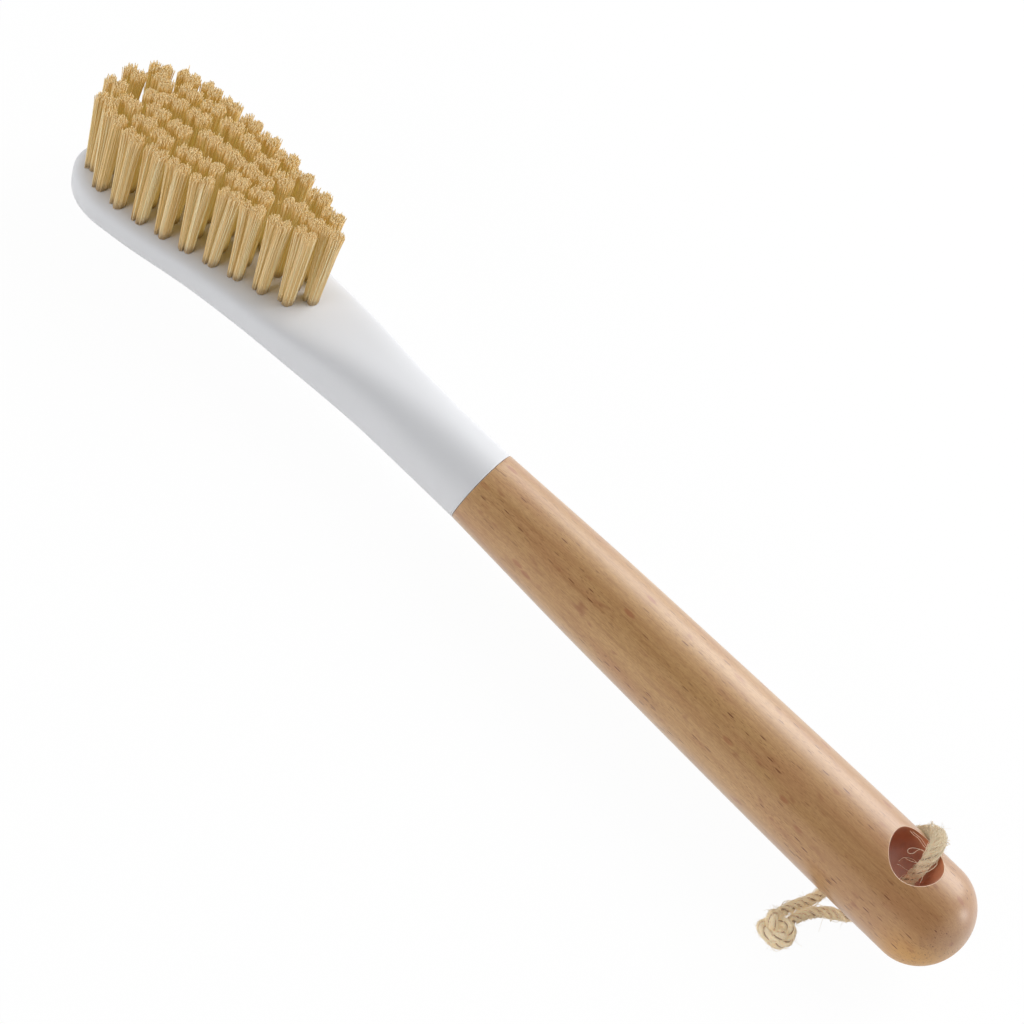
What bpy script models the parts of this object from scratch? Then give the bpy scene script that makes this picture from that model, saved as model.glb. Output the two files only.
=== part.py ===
"""Laundry stain brush lying on its back, bristles up.

A beech handle takes the round spigot of a white head. The head is a paddle that
bends back from the neck, with a field of blind holes, and a folded tuft of
bristles sits in each hole. A twine loop runs through the cross hole near the
butt and ends in a knot that lies on the table beside the handle.

Metres, +Z up. The table is z = 0 and +X points along the handle to its butt.
The brush's own frame has its origin at the joint of head and handle, with x
along the handle to the butt and z along the cross hole, to the bristle side.
"""

import math

import bmesh
import bpy
from mathutils import Matrix, Vector

mm = 0.001

# Handle
handle_length = 135.0 * mm
joint_diameter = 17.5 * mm
handle_mid_diameter = 20.4 * mm
handle_swell_diameter = 23.0 * mm
butt_round_length = 10.6 * mm
edge_ease = 0.35 * mm
handle_sides = 36

# Cross hole for the loop
hole_diameter = 12.6 * mm
hole_from_butt = 20.3 * mm
hole_sides = 32

# Spigot of the head in the socket of the handle
spigot_diameter = 9.0 * mm
spigot_length = 22.0 * mm
fit_gap = 0.3 * mm

# Neck and head, along the spine that runs from the joint to the tip
spine_length = 112.0 * mm
neck_straight = 33.0 * mm
bend_radius = 329.0 * mm
head_width = 30.6 * mm
face_height = 4.85 * mm
back_depth = 5.2 * mm
tip_round_length = 16.2 * mm
tip_edge_length = 5.4 * mm
head_sides = 32
back_flat_depth = 0.4 * mm

# One tuft: a folded root in its blind hole and the strands that stand on it
tuft_hole_diameter = 4.0 * mm
floor_under_tufts = 4.75 * mm
tuft_hole_depth = face_height + back_depth - floor_under_tufts
tuft_hole_sides = 10
tuft_height = 18.8 * mm
strand_count = 8
strand_width = 0.9 * mm
strand_tip_width = 0.8 * mm
strand_clearance = 0.1 * mm

# Tuft field on the face of the head, within margins to its sides and its tip
field_length = 55.8 * mm
field_tip_margin = 4.4 * mm
field_side_margin = 3.4 * mm
tuft_gap = 1.8 * mm
row_wall = 0.5 * mm
least_wall = 0.4 * mm
tuft_lean = math.radians(13.0)

field_start = spine_length - field_tip_margin - field_length
field_width = head_width - 2 * field_side_margin
tuft_pitch = tuft_hole_diameter + tuft_gap
row_pitch = tuft_hole_diameter + row_wall
tuft_least_spacing = tuft_hole_diameter + least_wall

# The strands stand in a ring that widens from root to tip
tuft_root_radius = (tuft_hole_diameter - strand_width) / 2 - fit_gap - strand_clearance
tuft_tip_radius = (tuft_least_spacing - strand_tip_width) / 2 - strand_clearance / 2

# Twine
twine_diameter = 2.2 * mm
twine_step = 3.0 * mm

# Knot: an overhand knot, in which the twine is drawn thinner
knot_twine_diameter = 1.7 * mm
knot_ring_radius = 2.1 * mm
knot_fold_radius = 0.95 * mm
knot_height_share = 1.3
knot_points = 60

overrun = 2.0 * mm

# Where along the handle its middle and swell diameters lie
handle_mid_share = 0.3
handle_swell_share = 0.88

# Shares of the way from the joint's size to the head's size, along the spine
width_shares = ((0, 0), (0.22, 0.01), (0.45, 0.40), (0.64, 0.69), (0.82, 1), (1, 1))
face_shares = ((0, 0), (0.27, 0.25), (0.54, 0.95), (0.80, 1), (1, 1))
back_shares = ((0, 0), (0.27, 0.05), (0.54, 0.75), (0.80, 1), (1, 1))
squareness_shares = ((0, 0), (0.09, 0), (0.54, 1), (1, 1))
face_squareness = 4.0
back_squareness = 2.3

# Least room that a row of tufts keeps to the outline, as a share of its inset
row_room_share = 0.99

# Outline of the tuft field: share of its length, share of its half width
field_outline_shares = (
    (0.0, 0.0),
    (0.045, 0.35),
    (0.24, 0.63),
    (0.47, 0.86),
    (0.72, 1.0),
    (0.885, 0.88),
    (0.975, 0.50),
    (1.0, 0.0),
)

# Route of the twine from knot to knot, from the point on the table under the
# middle of the cross hole. The handle lies on the returning strand.
strand_under_handle = (-6.15, -0.5, 1.15)
twine_route = (
    (-7.9, -16.15, 2.0),
    (-7.0, -13.6, 1.5),
    (-6.0, -11.3, 1.25),
    (-4.7, -9.25, 1.2),
    (-3.05, -7.5, 1.15),
    (-1.15, -6.0, 1.2),
    (0.75, -4.68, 1.75),
    (2.3, -3.6, 3.2),
    (3.15, -2.95, 5.3),
    (3.35, -2.3, 8.3),
    (3.35, -1.5, 11.6),
    (3.25, -0.7, 14.9),
    (3.1, 0.1, 18.2),
    (2.9, 1.0, 21.2),
    (2.7, 1.88, 23.2),
    (2.45, 3.35, 24.65),
    (2.15, 5.15, 25.25),
    (1.8, 7.0, 25.0),
    (1.4, 8.7, 24.0),
    (0.9, 10.3, 22.0),
    (0.35, 11.55, 19.5),
    (-0.4, 12.4, 16.8),
    (-1.3, 12.8, 14.0),
    (-2.3, 12.6, 11.1),
    (-3.3, 11.6, 8.2),
    (-4.2, 10.0, 5.6),
    (-5.0, 7.9, 3.4),
    (-5.7, 5.3, 1.85),
    (-6.1, 2.4, 1.2),
    strand_under_handle,
    (-6.05, -3.1, 1.15),
    (-6.35, -5.7, 1.15),
    (-7.15, -8.1, 1.15),
    (-8.25, -10.4, 1.15),
    (-9.4, -13.1, 1.4),
    (-10.5, -16.15, 2.0),
)
knot_place = (-9.2, -20.3, 2.2)


def smooth_through(points, at):
    """Value at a place of the smooth curve without overshoot through the points."""
    last = len(points) - 1
    slopes = [
        (points[k + 1][1] - points[k][1]) / (points[k + 1][0] - points[k][0])
        for k in range(last)
    ]

    def tangent(k):
        if k == 0 or k == last:
            return slopes[min(k, last - 1)]
        before, after = slopes[k - 1], slopes[k]
        return 0 if before * after <= 0 else 2 * before * after / (before + after)

    at = min(max(at, points[0][0]), points[last][0])
    k = min(sum(1 for p in points[1:] if p[0] < at), last - 1)
    span = points[k + 1][0] - points[k][0]
    t = (at - points[k][0]) / span
    rise = 3 * t**2 - 2 * t**3
    value = points[k][1] + (points[k + 1][1] - points[k][1]) * rise
    value += span * tangent(k) * (t**3 - 2 * t**2 + t)
    return value + span * tangent(k + 1) * (t**3 - t**2)


def handle_radius(x):
    """Radius of the handle at a distance from the joint, without its round butt."""
    places = (
        (0, joint_diameter / 2),
        (handle_mid_share * handle_length, handle_mid_diameter / 2),
        (handle_swell_share * handle_length, handle_swell_diameter / 2),
        (handle_length, handle_swell_diameter / 2),
    )
    return smooth_through(places, x)


def spine(s):
    """Point of the spine and its bend at an arc length from the joint."""
    bend = max(0, s - neck_straight) / bend_radius
    if s <= neck_straight:
        return Vector((-s, 0, 0)), 0
    x = -neck_straight - bend_radius * math.sin(bend)
    return Vector((x, 0, -bend_radius * (1 - math.cos(bend)))), bend


def grown(shares, s, head_size):
    joint_radius = joint_diameter / 2
    share = smooth_through(shares, s / spine_length)
    return joint_radius + (head_size - joint_radius) * share


def half_width(s):
    into_tip = max(0, s - spine_length + tip_round_length) / tip_round_length
    return grown(width_shares, s, head_width / 2) * math.sqrt(max(0, 1 - into_tip**2.1))


def tip_thinning(s):
    into_tip = max(0, s - spine_length + tip_edge_length) / tip_edge_length
    return math.sqrt(max(0, 1 - into_tip**2))


def squareness(s, full):
    return 2 + (full - 2) * smooth_through(squareness_shares, s / spine_length)


def on_section(s, y, z):
    """Point of the head in the brush's frame, from its place in a cross section."""
    middle, bend = spine(s)
    return middle + Vector((-z * math.sin(bend), y, z * math.cos(bend)))


def head_ring(s):
    """Cross section of the head: a squarish oval, flatter on the bristle side."""
    ring = []
    for k in range(head_sides):
        turn = 2 * math.pi * k / head_sides
        across, up = math.cos(turn), math.sin(turn)
        if up > 0:
            power = 2 / squareness(s, face_squareness)
            height = grown(face_shares, s, face_height) * tip_thinning(s)
        else:
            power = 2 / squareness(s, back_squareness)
            height = grown(back_shares, s, back_depth) * tip_thinning(s)
        y = math.copysign(abs(across) ** power, across) * half_width(s)
        z = math.copysign(abs(up) ** power, up) * height
        ring.append(on_section(s, y, z))
    return ring


def face_level(s, y):
    """Height of the bristle face over the spine."""
    power = squareness(s, face_squareness)
    share = min(abs(y) / half_width(s), 1)
    height = grown(face_shares, s, face_height) * tip_thinning(s)
    return height * (1 - share**power) ** (1 / power)


def material(name, color, roughness):
    finish = bpy.data.materials.new(name)
    finish.use_nodes = True
    shader = finish.node_tree.nodes["Principled BSDF"]
    shader.inputs["Base Color"].default_value = (*color, 1)
    shader.inputs["Roughness"].default_value = roughness
    shader.inputs["Metallic"].default_value = 0
    finish.diffuse_color = (*color, 1)
    return finish


def add_object(name, data, collection, finish=None, parent=None):
    piece = bpy.data.objects.new(name, data)
    collection.objects.link(piece)
    if finish:
        data.materials.append(finish)
    piece.parent = parent
    return piece


def hide_cutter(cutter):
    cutter.hide_render = True
    cutter.display_type = "WIRE"


def cut(piece, cutter):
    modifier = piece.modifiers.new("cut " + cutter.name, "BOOLEAN")
    modifier.operation = "DIFFERENCE"
    modifier.solver = "EXACT"
    modifier.object = cutter


def mesh_from(shape, name):
    mesh = bpy.data.meshes.new(name)
    shape.to_mesh(mesh)
    shape.free()
    return mesh


def cylinder(radius, low, high, sides):
    """Upright cylinder between two heights."""
    shape = bmesh.new()
    bmesh.ops.create_cone(
        shape,
        cap_ends=True,
        segments=sides,
        radius1=radius,
        radius2=radius,
        depth=high - low,
        matrix=Matrix.Translation((0, 0, (high + low) / 2)),
    )
    return shape


def shade_round(mesh):
    mesh.shade_smooth()
    mesh.set_sharp_from_angle(angle=math.radians(35))


def handle_profile():
    """Half section from the floor of the socket, out over the joint, to the butt.

    The height runs from the butt at zero up to the joint.
    """
    socket_radius = spigot_diameter / 2 + fit_gap
    socket_floor = handle_length - spigot_length - fit_gap
    top = handle_length - fit_gap / 2
    points = [
        (0, socket_floor),
        (socket_radius, socket_floor),
        (socket_radius, top),
        (joint_diameter / 2 - edge_ease, top),
    ]
    body_steps = 9
    for k in range(body_steps):
        share = k / body_steps
        height = top - edge_ease - share * (top - edge_ease - butt_round_length)
        points.append((handle_radius(handle_length - height), height))
    round_steps = 8
    for k in range(round_steps):
        turn = math.pi / 2 * k / round_steps
        height = butt_round_length * (1 - math.sin(turn))
        radius = handle_radius(handle_length - height) * math.cos(turn)
        points.append((radius, height))
    points.append((0, 0))
    return points


def build_handle(parts, cutters, frame, finish):
    profile = handle_profile()
    mesh = bpy.data.meshes.new("handle")
    edges = [(k, k + 1) for k in range(len(profile) - 1)]
    mesh.from_pydata([(r, 0, z) for r, z in profile], edges, [])
    handle = add_object("handle", mesh, parts, finish, frame)
    handle.location = (handle_length, 0, 0)
    handle.rotation_euler = (0, -math.pi / 2, 0)
    turned = handle.modifiers.new("turned", "SCREW")
    turned.axis = "Z"
    turned.steps = handle_sides
    turned.render_steps = handle_sides
    turned.use_merge_vertices = True
    turned.merge_threshold = 0.00001
    turned.use_smooth_shade = True

    reach = handle_swell_diameter / 2 + overrun
    drill = cylinder(hole_diameter / 2, -reach, reach, hole_sides)
    bore = add_object("cross_hole_cutter", mesh_from(drill, "cross_hole"), cutters, None, frame)
    bore.location = (handle_length - hole_from_butt, 0, 0)
    hide_cutter(bore)
    cut(handle, bore)
    return handle


def head_stations():
    """Stations along the spine, closer together round the tip."""
    body_steps = 20
    body = spine_length - tip_round_length
    stations = [body * k / body_steps for k in range(body_steps)]
    tip_steps = 12
    for k in range(tip_steps):
        turn = math.pi / 2 * k / tip_steps
        stations.append(body + tip_round_length * math.sin(turn))
    return stations


def build_head(parts, cutters, frame, finish, tufts):
    """Loft of the neck and head, with its spigot at the joint end."""
    shape = bmesh.new()
    rings = []
    joint_plane = -fit_gap / 2
    spigot_radius = spigot_diameter / 2
    for x in (spigot_length, joint_plane):
        ring = []
        for k in range(head_sides):
            turn = 2 * math.pi * k / head_sides
            ring.append((x, spigot_radius * math.cos(turn), spigot_radius * math.sin(turn)))
        rings.append(ring)
    shoulder = [Vector(point) for point in head_ring(0)]
    rings.append([point + Vector((joint_plane, 0, 0)) for point in shoulder])
    rings += [head_ring(s) for s in head_stations()[1:]]
    rows = [[shape.verts.new(point) for point in ring] for ring in rings]
    for near, far in zip(rows, rows[1:]):
        for k in range(head_sides):
            after = (k + 1) % head_sides
            shape.faces.new((near[k], near[after], far[after], far[k]))
    shape.faces.new(reversed(rows[0]))
    tip = shape.verts.new(on_section(spine_length, 0, 0))
    for k in range(head_sides):
        shape.faces.new((rows[-1][k], rows[-1][(k + 1) % head_sides], tip))
    bmesh.ops.recalc_face_normals(shape, faces=shape.faces)
    mesh = mesh_from(shape, "head")
    shade_round(mesh)
    head = add_object("head", mesh, parts, finish, frame)

    drills = bmesh.new()
    for tuft in tufts:
        bmesh.ops.create_cone(
            drills,
            cap_ends=True,
            segments=tuft_hole_sides,
            radius1=tuft_hole_diameter / 2,
            radius2=tuft_hole_diameter / 2,
            depth=tuft_hole_depth + overrun,
            matrix=tuft @ Matrix.Translation((0, 0, (overrun - tuft_hole_depth) / 2)),
        )
    holes = add_object("tuft_hole_cutter", mesh_from(drills, "tuft_holes"), cutters, None, frame)
    hide_cutter(holes)
    cut(head, holes)
    return head


def smooth_loop(points, steps):
    """Closed smooth curve through points, by the Catmull-Rom formula."""
    curve = []
    count = len(points)
    for k in range(count):
        a, b, c, d = (points[(k + j) % count] for j in (-1, 0, 1, 2))
        for step in range(steps):
            t = step / steps
            bend = a * (2 * t**2 - t**3 - t) + b * (2 - 5 * t**2 + 3 * t**3)
            bend += c * (4 * t**2 - 3 * t**3 + t) + d * (t**3 - t**2)
            curve.append(bend / 2)
    return curve


def field_outline():
    """Closed outline of the tuft field, as places along the spine and across."""
    side = [
        Vector((field_start + along * field_length, across * field_width / 2))
        for along, across in field_outline_shares
    ]
    other = [Vector((point.x, -point.y)) for point in reversed(side[1:-1])]
    return smooth_loop(side + other, 24)


def spaced(curve, first, pitch):
    """Points at even arc spacing along an open curve."""
    found = []
    due = first
    walked = 0
    for a, b in zip(curve, curve[1:]):
        length = (b - a).length
        while length > 0 and due <= walked + length:
            found.append(a.lerp(b, (due - walked) / length))
            due += pitch
        walked += length
    return found


def inset_side(outline, inset):
    """The +Y side of the outline, moved inwards by an inset, where it has room."""
    side = []
    for a, b in zip(outline, outline[1:]):
        along = (b - a).normalized()
        moved = a + Vector((along.y, -along.x)) * inset
        room = min((point - moved).length for point in outline)
        if moved.y >= 0 and room > inset * row_room_share:
            side.append(moved)
    return side


def tuft_places():
    """Places of the tufts: rows that follow the outline, then a row on the spine."""
    outline = field_outline()
    loop = outline + outline[:1]
    perimeter = sum((b - a).length for a, b in zip(loop, loop[1:]))
    count = round(perimeter / tuft_pitch)
    places = spaced(loop, 0, perimeter / count)[:count]

    def free(point):
        return all((point - other).length >= tuft_least_spacing for other in places)

    for row in (1, 2):
        side = inset_side(outline, row * row_pitch)
        for point in spaced(side, 0, tuft_pitch):
            twin = Vector((point.x, -point.y))
            if (point - twin).length >= tuft_least_spacing and free(point) and free(twin):
                places += [point, twin]
    step = tuft_least_spacing / 12
    for k in range(int(field_length / step)):
        point = Vector((field_start + k * step, 0))
        if free(point):
            places.append(point)
    return sorted(places, key=lambda point: (round(point.x / step), point.y))


def tuft_frame(place):
    """Where a tuft's hole meets the face, with z along the leaning hole."""
    foot = on_section(place.x, place.y, face_level(place.x, place.y))
    return Matrix.Translation(foot) @ Matrix.Rotation(-tuft_lean, 4, "Y")


def tuft_mesh(finish):
    """A root plug with its strands, all one body."""
    plug_radius = tuft_hole_diameter / 2 - fit_gap
    plug = cylinder(plug_radius, fit_gap - tuft_hole_depth, 0, tuft_hole_sides)
    base = bpy.data.objects.new("tuft_base", mesh_from(plug, "tuft_base"))
    strands = bmesh.new()
    sunk = tuft_root_radius
    for k in range(strand_count):
        if k == 0:
            foot = Vector((0, 0, -sunk))
            tip = Vector((0, 0, tuft_height))
        else:
            turn = 2 * math.pi * k / (strand_count - 1)
            outward = Vector((math.cos(turn), math.sin(turn), 0))
            foot = outward * tuft_root_radius - Vector((0, 0, sunk))
            tip = outward * tuft_tip_radius + Vector((0, 0, tuft_height))
        axis = tip - foot
        aim = axis.to_track_quat("Z", "X").to_matrix().to_4x4()
        bmesh.ops.create_cone(
            strands,
            cap_ends=True,
            segments=3,
            radius1=strand_width / 2,
            radius2=strand_tip_width / 2,
            depth=axis.length,
            matrix=Matrix.Translation((foot + tip) / 2) @ aim,
        )
    fibres = bpy.data.objects.new("tuft_strands", mesh_from(strands, "tuft_strands"))
    collection = bpy.context.scene.collection
    collection.objects.link(base)
    collection.objects.link(fibres)
    join = base.modifiers.new("join", "BOOLEAN")
    join.operation = "UNION"
    join.solver = "EXACT"
    join.object = fibres
    evaluated = base.evaluated_get(bpy.context.evaluated_depsgraph_get())
    mesh = bpy.data.meshes.new_from_object(evaluated)
    mesh.name = "tuft"
    mesh.materials.clear()
    mesh.materials.append(finish)
    for helper in (base, fibres):
        bpy.data.objects.remove(helper)
    return mesh


def build_tufts(parts, frame, finish, places):
    mesh = tuft_mesh(finish)
    golden_turn = math.pi * (3 - math.sqrt(5))
    for number, place in enumerate(places, 1):
        tuft = bpy.data.objects.new("tuft_%02d" % number, mesh)
        parts.objects.link(tuft)
        tuft.parent = frame
        tuft.matrix_local = tuft_frame(place) @ Matrix.Rotation(number * golden_turn, 4, "Z")


def rest_tilt():
    """Tilt at which head and twine both lie on the table, and the frame's height.

    The head's back goes below the table by the flat that is cut on it, and the
    handle lies on the strand of twine that passes under it.
    """
    crossing = handle_length - hole_from_butt + strand_under_handle[0] * mm
    under = Vector((crossing, 0, -handle_radius(crossing)))
    stations = [spine_length * (0.5 + 0.5 * k / 200) for k in range(201)]
    back = [
        on_section(s, 0, -grown(back_shares, s, back_depth) * tip_thinning(s))
        for s in stations
    ]

    def height(point, tilt):
        return point.z * math.cos(tilt) + point.x * math.sin(tilt)

    low, high = math.radians(-5), math.radians(5)
    wanted = back_flat_depth + twine_diameter + fit_gap
    for _ in range(60):
        tilt = (low + high) / 2
        lowest = min(height(point, tilt) for point in back)
        if height(under, tilt) - lowest < wanted:
            low = tilt
        else:
            high = tilt
    return tilt, -lowest - back_flat_depth


def smooth_route(points, step):
    """Open smooth curve through route points, at even steps."""
    ends = [points[0] * 2 - points[1]] + points + [points[-1] * 2 - points[-2]]
    fine = []
    for k in range(1, len(ends) - 2):
        a, b, c, d = ends[k - 1 : k + 3]
        for part in range(16):
            t = part / 16
            bend = a * (2 * t**2 - t**3 - t) + b * (2 - 5 * t**2 + 3 * t**3)
            bend += c * (4 * t**2 - 3 * t**3 + t) + d * (t**3 - t**2)
            fine.append(bend / 2)
    fine.append(points[-1])
    length = sum((b - a).length for a, b in zip(fine, fine[1:]))
    steps = round(length / step)
    even = spaced(fine, 0, length / steps)
    return even[:steps] + [points[-1]], length


def tube(name, points, diameter, parts, finish, closed=False):
    curve = bpy.data.curves.new(name, "CURVE")
    curve.dimensions = "3D"
    curve.bevel_depth = diameter / 2
    curve.bevel_resolution = 2
    curve.use_fill_caps = not closed
    line = curve.splines.new("POLY")
    line.points.add(len(points) - 1)
    for place, point in zip(line.points, points):
        place.co = (*point, 1)
    line.use_cyclic_u = closed
    return add_object(name, curve, parts, finish)


def knot_curve(middle):
    """Overhand knot drawn tight: a trefoil that winds three times round a ring."""
    points = []
    for k in range(knot_points):
        turn = 2 * math.pi * k / knot_points
        reach = knot_ring_radius + knot_fold_radius * math.cos(3 * turn)
        height = knot_height_share * knot_fold_radius * math.sin(3 * turn)
        around = Vector((math.cos(2 * turn), math.sin(2 * turn), 0))
        points.append(middle + around * reach + Vector((0, 0, height)))
    return points


def build_twine(parts, finish, hole_on_table):
    route = [hole_on_table + Vector(point) * mm for point in twine_route]
    points, length = smooth_route(route, twine_step)
    tube("twine_loop", points, twine_diameter, parts, finish)
    middle = hole_on_table + Vector(knot_place) * mm
    tube("twine_knot", knot_curve(middle), knot_twine_diameter, parts, finish, True)
    print("twine length %.1f mm" % (length / mm))


def cut_back_flat(head, cutters):
    """The flat on the head's back lies on the table."""
    side = 2 * spine_length
    block = bmesh.new()
    bmesh.ops.create_cube(block, size=side)
    below = add_object("table_cutter", mesh_from(block, "table_cut"), cutters)
    below.location = (-spine_length, 0, -side / 2)
    hide_cutter(below)
    cut(head, below)


def brush_middle(parts):
    """Middle of the brush along X, without the twine."""
    bpy.context.view_layer.update()
    depsgraph = bpy.context.evaluated_depsgraph_get()
    reach = []
    for piece in parts.objects:
        evaluated = piece.evaluated_get(depsgraph)
        mesh = evaluated.to_mesh()
        reach += [(piece.matrix_world @ vertex.co).x for vertex in mesh.vertices]
        evaluated.to_mesh_clear()
    return (min(reach) + max(reach)) / 2


def main():
    for old in list(bpy.data.objects):
        bpy.data.objects.remove(old)
    scene = bpy.context.scene
    parts = bpy.data.collections.new("stain_brush")
    cutters = bpy.data.collections.new("cutters")
    scene.collection.children.link(parts)
    scene.collection.children.link(cutters)

    beech = material("beech", (0.60, 0.38, 0.21), 0.5)
    white = material("white_satin", (0.82, 0.83, 0.84), 0.35)
    bristle = material("bristle", (0.72, 0.56, 0.28), 0.6)
    jute = material("jute", (0.60, 0.46, 0.27), 0.9)

    frame = bpy.data.objects.new("brush_frame", None)
    scene.collection.objects.link(frame)
    tilt, rise = rest_tilt()
    frame.rotation_euler = (0, -tilt, 0)
    frame.location = (0, 0, rise)

    places = tuft_places()
    build_handle(parts, cutters, frame, beech)
    head = build_head(parts, cutters, frame, white, [tuft_frame(place) for place in places])
    build_tufts(parts, frame, bristle, places)
    frame.location.x = -brush_middle(parts)
    bpy.context.view_layer.update()
    cut_back_flat(head, cutters)

    hole = frame.matrix_world @ Vector((handle_length - hole_from_butt, 0, 0))
    build_twine(parts, jute, Vector((hole.x, 0, 0)))
    print("tufts %d, strands %d" % (len(places), len(places) * strand_count))
    print("tilt %.3f degrees, joint at %.4f, %.4f" % (math.degrees(tilt), frame.location.x, rise))
    print("hole on table at x %.4f, axis height %.4f" % (hole.x, hole.z))


main()
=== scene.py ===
import math

import bmesh
import bpy
import numpy as np
from mathutils import Matrix


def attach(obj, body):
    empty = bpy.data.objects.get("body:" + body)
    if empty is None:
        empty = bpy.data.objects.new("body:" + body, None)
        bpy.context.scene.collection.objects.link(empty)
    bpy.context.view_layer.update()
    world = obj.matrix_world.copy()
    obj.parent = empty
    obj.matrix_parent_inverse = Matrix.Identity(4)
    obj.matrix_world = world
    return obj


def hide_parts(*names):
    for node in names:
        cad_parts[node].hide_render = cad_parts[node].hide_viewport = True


# Laundry stain brush on its back on a white table. Shapes are worked out in the
# brush's own frame in millimetres: x along the handle to the butt, z to the bristles,
# origin where head and handle meet. toWorld puts them into the table's frame.
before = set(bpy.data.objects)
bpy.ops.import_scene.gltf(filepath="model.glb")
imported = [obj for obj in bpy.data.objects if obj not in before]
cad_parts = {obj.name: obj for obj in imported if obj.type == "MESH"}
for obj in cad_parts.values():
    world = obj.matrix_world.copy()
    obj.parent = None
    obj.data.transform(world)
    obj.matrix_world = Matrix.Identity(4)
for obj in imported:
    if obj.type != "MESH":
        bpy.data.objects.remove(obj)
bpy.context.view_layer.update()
mm = 0.001
print("frame loaded:", len(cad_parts), "nodes")

brush = {"jointX": -10.436, "jointHeight": 13.48, "tilt": math.radians(0.2562)}
c, s = math.cos(brush["tilt"]), math.sin(brush["tilt"])
brushToWorld = np.array((
    (c, 0, -s, brush["jointX"]), (0, 1, 0, 0), (s, 0, c, brush["jointHeight"]), (0, 0, 0, 1),
))


def toWorld(local):
    # tips the brush by its tilt about y, then moves its joint to its place, in metres
    return mm * (np.asarray(local, float) @ brushToWorld[:3, :3].T + brushToWorld[:3, 3])


def addObject(name, data):
    # a new object in the scene's collection
    added = bpy.data.objects.new(name, data)
    bpy.context.collection.objects.link(added)
    return added


# Camera

view = {
    "buttTowardCamera": math.radians(4.31),
    "rollAboutHandle": math.radians(40.8),
    "slantInImage": math.radians(43.89),
    "jointPixel": (481.31, 486.43),
    "pixelsPerMm": 4.833,  # at the joint
    "distance": 450.0, "imageSize": 1024, "sensorWidth": 36.0,
    "clip": (0.01, 20.0),  # metres
}


def makeCamera():
    # the handle's direction in the camera's frame fixes x, and the roll about it fixes z
    alpha, phi, rho = view["buttTowardCamera"], view["rollAboutHandle"], view["slantInImage"]
    xAxis = np.array([math.cos(alpha) * math.cos(rho), -math.cos(alpha) * math.sin(rho), math.sin(alpha)])
    toEye = np.array([0, 0, 1]) - xAxis[2] * xAxis
    toEye /= np.linalg.norm(toEye)
    upward = np.cross(toEye, xAxis)
    upward *= math.copysign(1, upward[1])
    zAxis = math.cos(phi) * toEye + math.sin(phi) * upward
    yAxis = np.cross(zAxis, xAxis)
    half = view["imageSize"] / 2
    px, py = view["jointPixel"]
    joint = ((px - half) / view["pixelsPerMm"], (half - py) / view["pixelsPerMm"], -view["distance"])
    rows = np.column_stack((xAxis, yAxis, zAxis, joint)).tolist()
    brushToCamera = Matrix([*rows, [0, 0, 0, 1]])
    pose = Matrix(brushToWorld.tolist()) @ brushToCamera.inverted()
    pose.translation *= mm
    data = bpy.data.cameras.new("camera")
    data.sensor_width = view["sensorWidth"]
    data.lens = view["sensorWidth"] * view["pixelsPerMm"] * view["distance"] / view["imageSize"]
    data.clip_start, data.clip_end = view["clip"]
    eye = addObject("camera", data)
    eye.matrix_world = pose
    bpy.context.scene.camera = eye
    print("camera set")


makeCamera()


# Meshes

def makePiece(name, verts, quads, finish, tris=(), values=None, outward=False):
    # verts in metres, faces as rows of vertex numbers, values as one number a vertex
    verts = np.asarray(verts, np.float32).reshape(-1, 3)
    quads = np.asarray(quads, np.int32).reshape(-1, 4)
    tris = np.asarray(tris, np.int32).reshape(-1, 3)
    mesh = bpy.data.meshes.new(name)
    mesh.vertices.add(len(verts))
    mesh.vertices.foreach_set("co", verts.ravel())
    mesh.loops.add(quads.size + tris.size)
    mesh.loops.foreach_set("vertex_index", np.concatenate((quads.ravel(), tris.ravel())))
    mesh.polygons.add(len(quads) + len(tris))
    starts = np.concatenate((np.arange(len(quads)) * 4, quads.size + np.arange(len(tris)) * 3))
    mesh.polygons.foreach_set("loop_start", starts.astype(np.int32))
    mesh.polygons.foreach_set("loop_total", np.repeat([4, 3], [len(quads), len(tris)]).astype(np.int32))
    for key, numbers in (values or {}).items():
        attribute = mesh.attributes.new(key, "FLOAT", "POINT")
        attribute.data.foreach_set("value", np.asarray(numbers, np.float32).ravel())
    mesh.update(calc_edges=True)
    mesh.validate()
    mesh.shade_smooth()
    if outward:
        faceOutward(mesh)
    mesh.materials.append(finish)
    piece = addObject(name, mesh)
    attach(piece, "root")
    return piece


def faceOutward(mesh):
    # turns every face of a closed mesh to its outside
    shape = bmesh.new()
    shape.from_mesh(mesh)
    bmesh.ops.recalc_face_normals(shape, faces=shape.faces)
    shape.to_mesh(mesh)
    shape.free()


def gridQuads(rows, columns):
    # quads between the rows of a grid that wraps round after its last column
    i, j = np.indices((rows - 1, columns))
    k = (j + 1) % columns
    corners = (i * columns + j, i * columns + k, (i + 1) * columns + k, (i + 1) * columns + j)
    return np.stack(corners, -1).reshape(-1, 4)


def endFans(rows, columns, pole):
    # a fan over the first row of a grid and one over the last, to points pole and pole + 1
    ring, poles = np.arange(columns), np.full(columns, pole)
    after, last = np.roll(ring, -1), (rows - 1) * columns
    first = np.column_stack((poles, after, ring))
    return np.vstack((first, np.column_stack((last + ring, last + after, poles + 1))))


def fullTurn(count):
    # even angles once round
    return np.linspace(0, 2 * np.pi, count, endpoint=False)


def spoke(angle, across, up):
    # the direction at an angle between two side axes
    return np.cos(angle)[..., None] * across + np.sin(angle)[..., None] * up


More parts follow.
